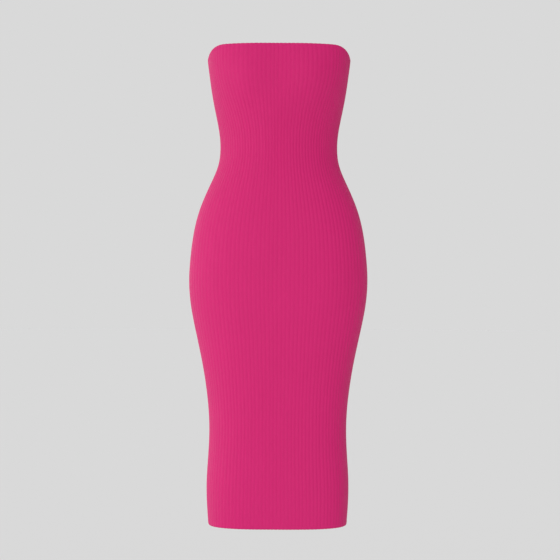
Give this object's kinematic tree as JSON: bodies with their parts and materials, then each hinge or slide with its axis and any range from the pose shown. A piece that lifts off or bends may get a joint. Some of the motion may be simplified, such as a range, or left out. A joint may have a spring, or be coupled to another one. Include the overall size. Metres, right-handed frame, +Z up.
{
  "type": "strapless dress",
  "caption": "Strapless close-fitting midi dress in fine vertical rib knit, filled out in its worn shape, with open top and hem and narrow folded edges.",
  "frame": {"origin": "centre of the chest opening, level with the top edge at the side seams, where the wearer's chest holds the dress up", "axes": "+Z up along the dress, -Y out of its front, +X towards the wearer's left side"},
  "size_m": [0.3552, 0.2323, 0.9411],
  "materials": {
    "rib_knit": "fine vertical rib knit in hot pink, matt with a soft sheen at grazing angles",
    "folded_knit": "the same hot pink knit, folded over into a narrow edge"
  },
  "bodies": {
    "root": {"front_panel": "rib_knit", "back_panel": "rib_knit", "top_edge": "folded_knit", "hem_edge": "folded_knit"}
  },
  "joints": []
}
